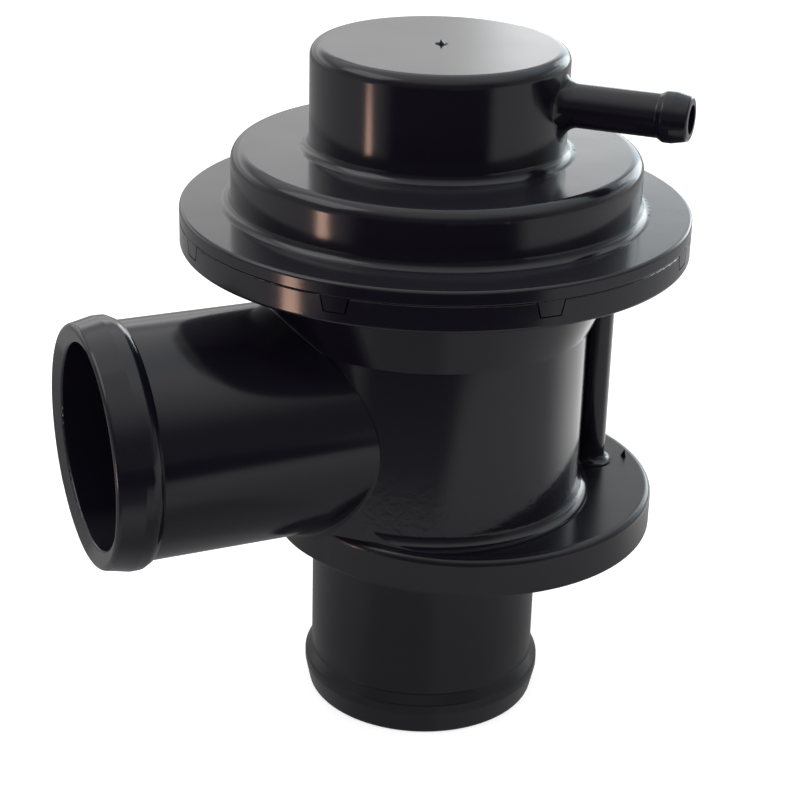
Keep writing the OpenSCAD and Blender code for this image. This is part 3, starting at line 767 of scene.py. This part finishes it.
soft_box("left_box", turn_deg=-82, rise_deg=47, width_mm=450, height_mm=300, radiance=1.2)
soft_box("window_box", turn_deg=146, rise_deg=15, width_mm=200, height_mm=330, radiance=1.8)
area_lamp("warm_strip", WARM_PLACE, FACE_UP, width_mm=170, height_mm=24, radiance=8.0, colour="#ffcdb5")

# %% [markdown]
# ## The studio: the room
#
# The camera sees plain white round the valve, and matt surfaces get an even light. Mirrors see a
# room: dark in front, where the camera stands, and behind the valve a pale wall that fades towards
# its top, with a window at its right that adds a little blue. A picture of a room could be wrapped
# round the scene, but ramps need no file, and each can be moved by itself. They run over the height
# of a direction, over its turn away from the front and over how far it points aside.

# %% Room: directions
world = bpy.data.worlds.new("studio_room")
world.use_nodes = True
scene.world = world
room = world.node_tree
room.nodes.clear()
ray = add_node(room, "ShaderNodeLightPath").outputs
direction = add_node(room, "ShaderNodeTexCoord").outputs["Generated"]
height = add_node(room, "ShaderNodeSeparateXYZ", Vector=direction).outputs["Z"]
forth = add_node(room, "ShaderNodeVectorMath", DOT, _0=direction,
                 _1=tuple(towards_camera)).outputs["Value"]
aside = add_node(room, "ShaderNodeVectorMath", DOT, _0=direction,
                 _1=tuple(level_right)).outputs["Value"]
turn = add_node(room, "ShaderNodeMath", {"operation": "ARCTAN2"}, _0=aside, _1=forth).outputs["Value"]
off_front = add_node(room, "ShaderNodeMath", {"operation": "ABSOLUTE"}, _0=turn).outputs["Value"]
print("Directions of the room:", len(room.nodes), "nodes")

# %% Room: ramps
# A row says where a ramp starts and ends, and its level at the start and at the end.
OVER_HEIGHT = {
    "front": (0.35, 1.0, 0.09, 0.75),
    "wall_foot": (0.18, 0.26, -0.6, 0.0),
    "wall_top": (0.28, 0.44, 1.45, 0.55),
    "ceiling": (0.46, 0.62, 0.0, 0.4),
    "window_top": (0.20, 0.34, 1.0, 0.0),
}
OVER_TURN = {
    "flank": (math.radians(40), math.radians(75), 0.0, 0.2),
    "behind": (math.radians(92), math.radians(132), 0.0, 1.0),
    "window_end": (math.radians(122), math.radians(140), 0.0, 1.0),
}
OVER_ASIDE = {
    "window_side": (0.025, 0.055, 0.0, 1.7),
    "daylight": (0.0, 0.3, 0.0, 1.0),
}
ramps = {}
for measure, rows in ((height, OVER_HEIGHT), (off_front, OVER_TURN), (aside, OVER_ASIDE)):
    for name, (start, end, first_level, last_level) in rows.items():
        ramp = add_node(room, "ShaderNodeMapRange", SMOOTH, Value=measure, From_Min=start, From_Max=end,
                        To_Min=first_level, To_Max=last_level)
        ramps[name] = ramp.outputs["Result"]
print("Ramps of the room:", ", ".join(ramps))

# %% Room: the dark front, the pale back wall and its window
front_room = add_node(room, "ShaderNodeMath", _0=ramps["front"], _1=ramps["flank"])
wall = add_node(room, "ShaderNodeMath", _0=ramps["wall_foot"], _1=ramps["wall_top"])
wall_room = add_node(room, "ShaderNodeMath", _0=wall.outputs["Value"], _1=ramps["ceiling"])
window_span = add_node(room, "ShaderNodeMath", TIMES, _0=ramps["window_side"], _1=ramps["window_end"])
window = add_node(room, "ShaderNodeMath", TIMES, _0=window_span.outputs["Value"], _1=ramps["window_top"])
back_room = add_node(room, "ShaderNodeMath", _0=wall_room.outputs["Value"], _1=window.outputs["Value"])
mirrored = add_node(room, "ShaderNodeMix", FLOAT_MIX, Factor=ramps["behind"],
                    _2=front_room.outputs["Value"], _3=back_room.outputs["Value"])
print("Room that mirrors see:", len(room.nodes), "nodes")

# %% Room: what mirrors, the camera and matt surfaces see
ROOM_LIGHT = 0.8
mirror = add_node(room, "ShaderNodeMath", LARGER, _0=ray["Is Glossy Ray"], _1=ray["Is Transmission Ray"])
level = add_node(room, "ShaderNodeMix", FLOAT_MIX, Factor=mirror.outputs["Value"], _2=ROOM_LIGHT,
                 _3=mirrored.outputs[0])
seen = add_node(room, "ShaderNodeMix", FLOAT_MIX, Factor=ray["Is Camera Ray"], _2=level.outputs[0], _3=1.0)
window_share = add_node(room, "ShaderNodeMath", TIMES, _0=ramps["daylight"], _1=ramps["behind"])
tint_share = add_node(room, "ShaderNodeMath", TIMES, _0=window_share.outputs["Value"],
                      _1=mirror.outputs["Value"])
tint = add_node(room, "ShaderNodeMix", COLOUR_MIX, Factor=tint_share.outputs["Value"],
                _6=linear("#ffffff"), _7=linear("#e9f8ff"))
sky = add_node(room, "ShaderNodeBackground", Color=tint.outputs[2], Strength=seen.outputs[0])
add_node(room, "ShaderNodeOutputWorld", Surface=sky.outputs["Background"])
print("Room:", len(room.nodes), "nodes,", len(room.links), "links")

# %% [markdown]
# ## The studio: the floor
#
# The camera sees a white floor that takes the valve's shadow. Mirrors see patches on it: dark in
# front of the valve with a pale ring round its foot, paler at the left, and at the right paler
# still, with a glare towards the back. Cut sheets of card would do this in a real studio. Here the
# floor's own shader does it, so that the patches can fade and stay out of the camera's view.

# %% Floor: places
floor_finish, ground, ground_output = new_material("pale_studio_floor")
floor_ray = add_node(ground, "ShaderNodeLightPath").outputs
place = add_node(ground, "ShaderNodeTexCoord").outputs["Object"]
ground_forth = add_node(ground, "ShaderNodeVectorMath", DOT, _0=place, _1=tuple(towards_camera))
ground_aside = add_node(ground, "ShaderNodeVectorMath", DOT, _0=place, _1=tuple(level_right))
ground_turn = add_node(ground, "ShaderNodeMath", {"operation": "ARCTAN2"},
                       _0=ground_aside.outputs["Value"], _1=ground_forth.outputs["Value"]).outputs["Value"]
reach = add_node(ground, "ShaderNodeVectorMath", LENGTH, _0=place).outputs["Value"]
print("Places on the floor:", len(ground.nodes), "nodes")

# %% Floor: ramps
# A row says where a ramp starts and ends in mm from the axis, and its level at the start and at the
# end. The two edge rows are angles: together they say where the dark front ends at the right.
SLOPES = {
    "near_edge": (85, 112, math.radians(6), math.radians(16)),
    "far_edge": (120, 180, 0.0, math.radians(27)),
    "front_fall": (36, 180, 0.21, 0.01),
    "left_side": (30, 80, 0.26, 0.39),
    "right_side": (30, 100, 0.27, 0.53),
}
STEPS = {
    "ring_in": (45, 68, 0.0, 0.28),
    "ring_out": (74, 98, 0.0, -0.28),
    "glare_in": (55, 100, 0.0, 0.85),
    "glare_out": (138, 165, 0.0, -0.85),
}
patches = {}
for settings, rows in (({}, SLOPES), (SMOOTH, STEPS)):
    for name, (start, end, first_level, last_level) in rows.items():
        ramp = add_node(ground, "ShaderNodeMapRange", settings, Value=reach, From_Min=start * MM,
                        From_Max=end * MM, To_Min=first_level, To_Max=last_level)
        patches[name] = ramp.outputs["Result"]
print("Ramps of the floor:", ", ".join(patches))

# %% Floor: sides
RIGHT_FROM, RIGHT_TO = math.radians(-4), math.radians(8)
LEFT_FROM, LEFT_TO = math.radians(-38), math.radians(-56)
GLARE_FROM, GLARE_TO = math.radians(85), math.radians(118)
edge = add_node(ground, "ShaderNodeMath", _0=patches["near_edge"], _1=patches["far_edge"])
past_edge = add_node(ground, "ShaderNodeMath", {"operation": "SUBTRACT"}, _0=ground_turn,
                     _1=edge.outputs["Value"])
right = add_node(ground, "ShaderNodeMapRange", SMOOTH, Value=past_edge.outputs["Value"],
                 From_Min=RIGHT_FROM, From_Max=RIGHT_TO)
left = add_node(ground, "ShaderNodeMapRange", SMOOTH, Value=ground_turn, From_Min=LEFT_FROM,
                From_Max=LEFT_TO)
glare_side = add_node(ground, "ShaderNodeMapRange", SMOOTH, Value=ground_turn, From_Min=GLARE_FROM,
                      From_Max=GLARE_TO)
print("Sides of the floor:", len(ground.nodes), "nodes")

# %% Floor: the patches that mirrors see
ring = add_node(ground, "ShaderNodeMath", _0=patches["ring_in"], _1=patches["ring_out"])
front = add_node(ground, "ShaderNodeMath", _0=patches["front_fall"], _1=ring.outputs["Value"])
glare_level = add_node(ground, "ShaderNodeMath", _0=patches["glare_in"], _1=patches["glare_out"])
glare = add_node(ground, "ShaderNodeMath", TIMES, _0=glare_level.outputs["Value"],
                 _1=glare_side.outputs["Result"])
lit_right = add_node(ground, "ShaderNodeMath", _0=patches["right_side"], _1=glare.outputs["Value"])
half = add_node(ground, "ShaderNodeMix", FLOAT_MIX, Factor=left.outputs["Result"],
                _2=front.outputs["Value"], _3=patches["left_side"])
pattern = add_node(ground, "ShaderNodeMix", FLOAT_MIX, Factor=right.outputs["Result"],
                   _2=half.outputs[0], _3=lit_right.outputs["Value"])
image = add_node(ground, "ShaderNodeEmission", Color=linear("#ffffff"), Strength=pattern.outputs[0])
print("Patches of the floor:", len(ground.nodes), "nodes")

# %% Floor: what the camera sees, and the plane
FLOOR_GLOW = 0.7
FLOOR_WIDTH_M = 6.0
straight = add_node(ground, "ShaderNodeMath", LARGER, _0=floor_ray["Is Camera Ray"],
                    _1=floor_ray["Is Transmission Ray"])
lit_glow = add_node(ground, "ShaderNodeMath", TIMES, _0=straight.outputs["Value"], _1=FLOOR_GLOW)
glow = add_node(ground, "ShaderNodeEmission", Color=linear("#ffffff"), Strength=lit_glow.outputs["Value"])
paper = add_node(ground, "ShaderNodeBsdfDiffuse", Color=linear("#e8e8e8"))
lit_paper = add_node(ground, "ShaderNodeAddShader", _0=glow.outputs["Emission"], _1=paper.outputs["BSDF"])
surface = add_node(ground, "ShaderNodeMixShader", _0=floor_ray["Is Glossy Ray"],
                   _1=lit_paper.outputs["Shader"], _2=image.outputs["Emission"])
ground.links.new(surface.outputs["Shader"], ground_output.inputs["Surface"])

bpy.ops.object.select_all(action="DESELECT")
bpy.ops.mesh.primitive_plane_add(size=FLOOR_WIDTH_M, location=(0.0, 0.0, 0.0))
floor = bpy.context.object
floor.name = "studio_floor"
floor.data.materials.append(floor_finish)
print("Floor:", len(ground.nodes), "nodes,", len(ground.links), "links")
